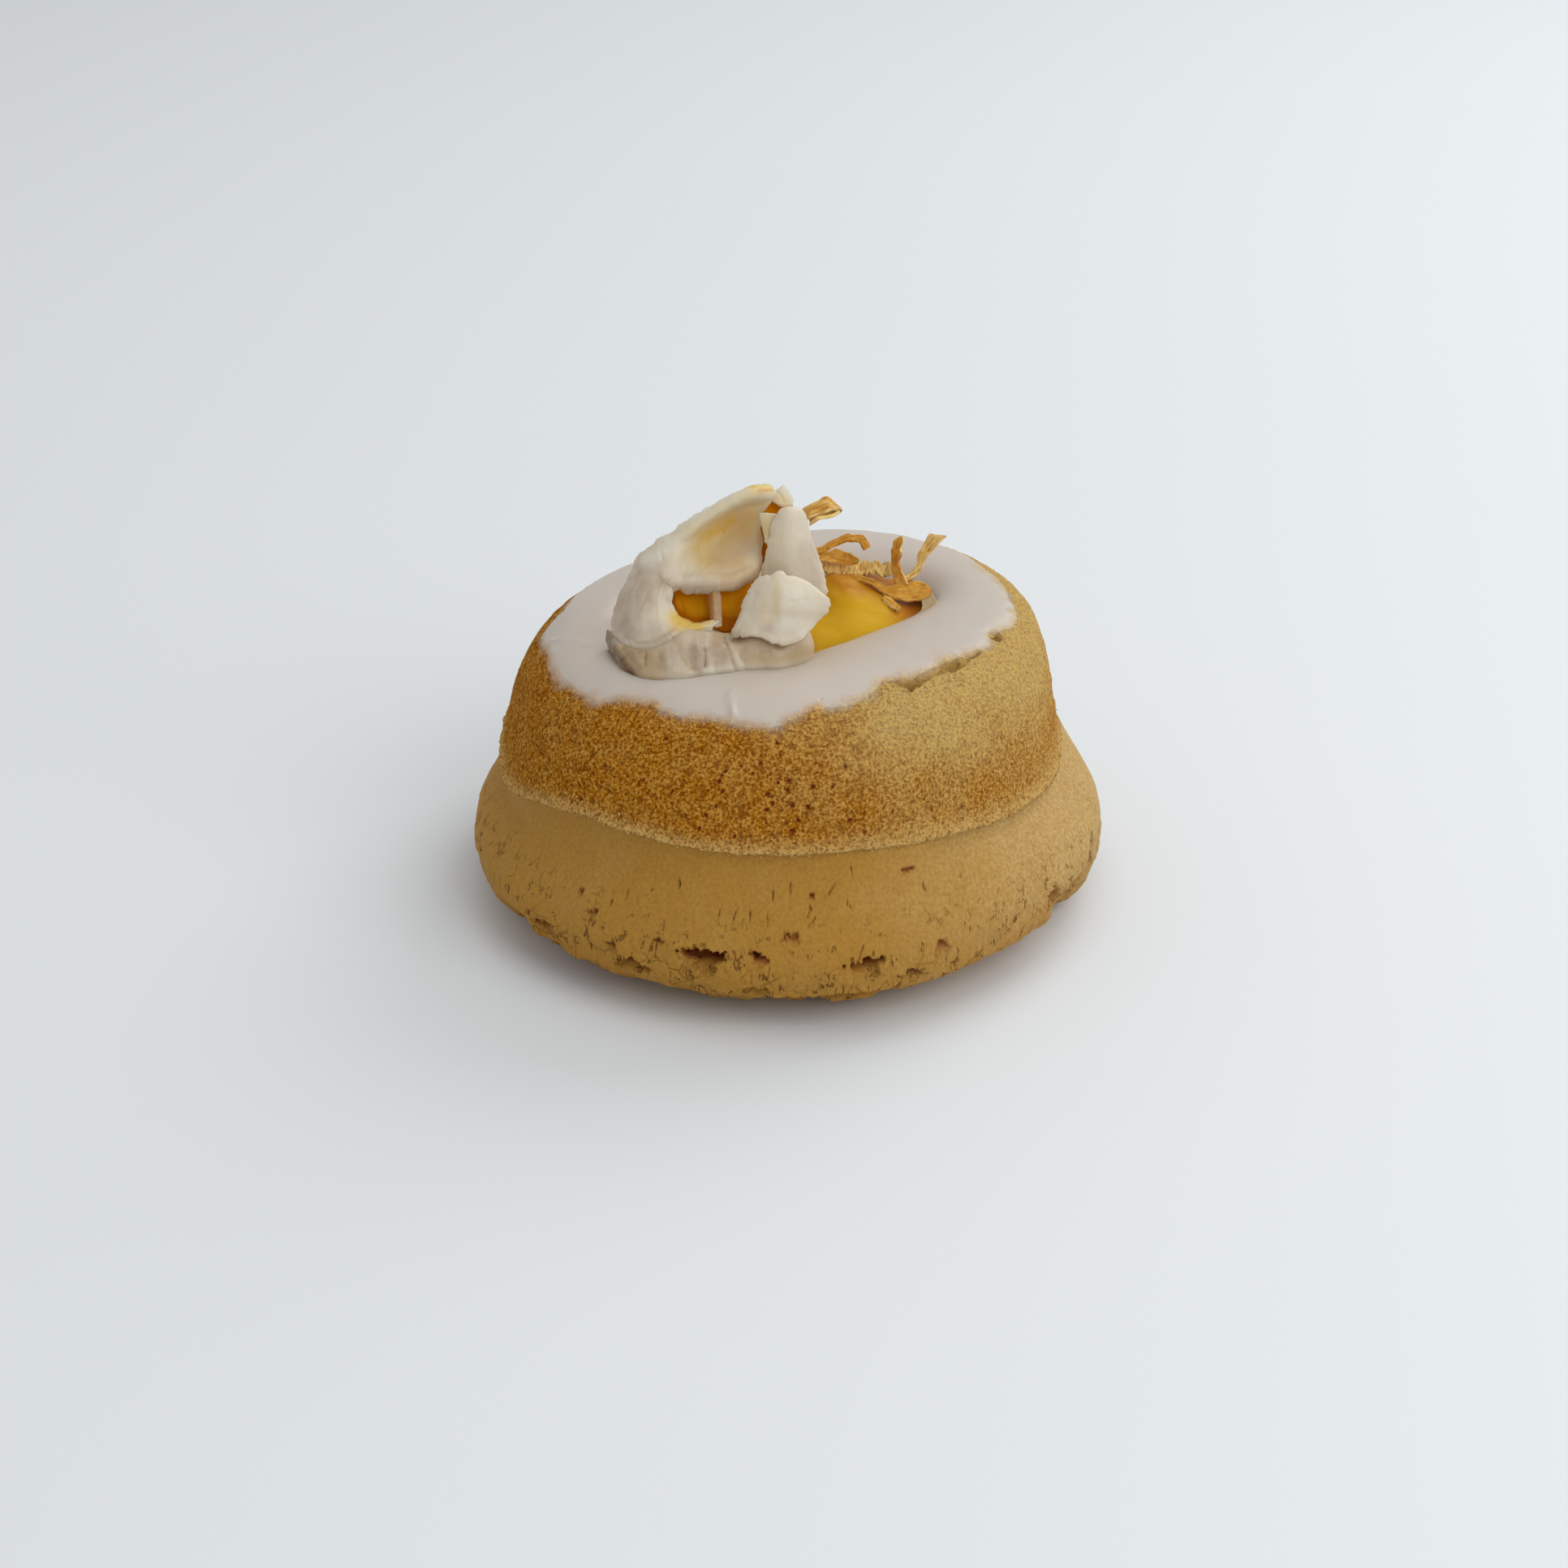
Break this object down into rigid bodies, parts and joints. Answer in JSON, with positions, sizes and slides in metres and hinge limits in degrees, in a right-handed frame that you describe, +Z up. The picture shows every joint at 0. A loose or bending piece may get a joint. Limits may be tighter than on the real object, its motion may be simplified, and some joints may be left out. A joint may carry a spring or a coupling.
{
  "type": "mochi doughnut",
  "caption": "Mochi doughnut with a crust moulded over a risen band, pale icing, yellow filling in its well, torn pale fruit and fried shreds on top.",
  "frame": {"origin": "on the flat underside, under the middle of the lower band", "axes": "+Z up through the well, -Y towards the side where the torn fruit leans over the icing"},
  "size_m": [0.0837, 0.0836, 0.0562],
  "materials": {
    "dough": "matt, porous",
    "icing": "satin",
    "filling": "glossy",
    "fruit": "satin",
    "pulp": "wet",
    "shred": "matt"
  },
  "bodies": {
    "root": {"doughnut": "dough", "icing": "icing", "filling": "filling", "petal_hood": "fruit", "petal_front": "fruit", "petal_upright": "fruit", "petal_tip": "fruit", "petal_sliver": "fruit", "pulp_base": "pulp", "shred_loop": "shred", "shred_arc": "shred", "shred_flake": "shred", "shred_frayed": "shred", "shred_stub": "shred", "shred_fan": "shred", "shred_leaf": "shred", "shred_sliver": "shred"}
  },
  "joints": []
}
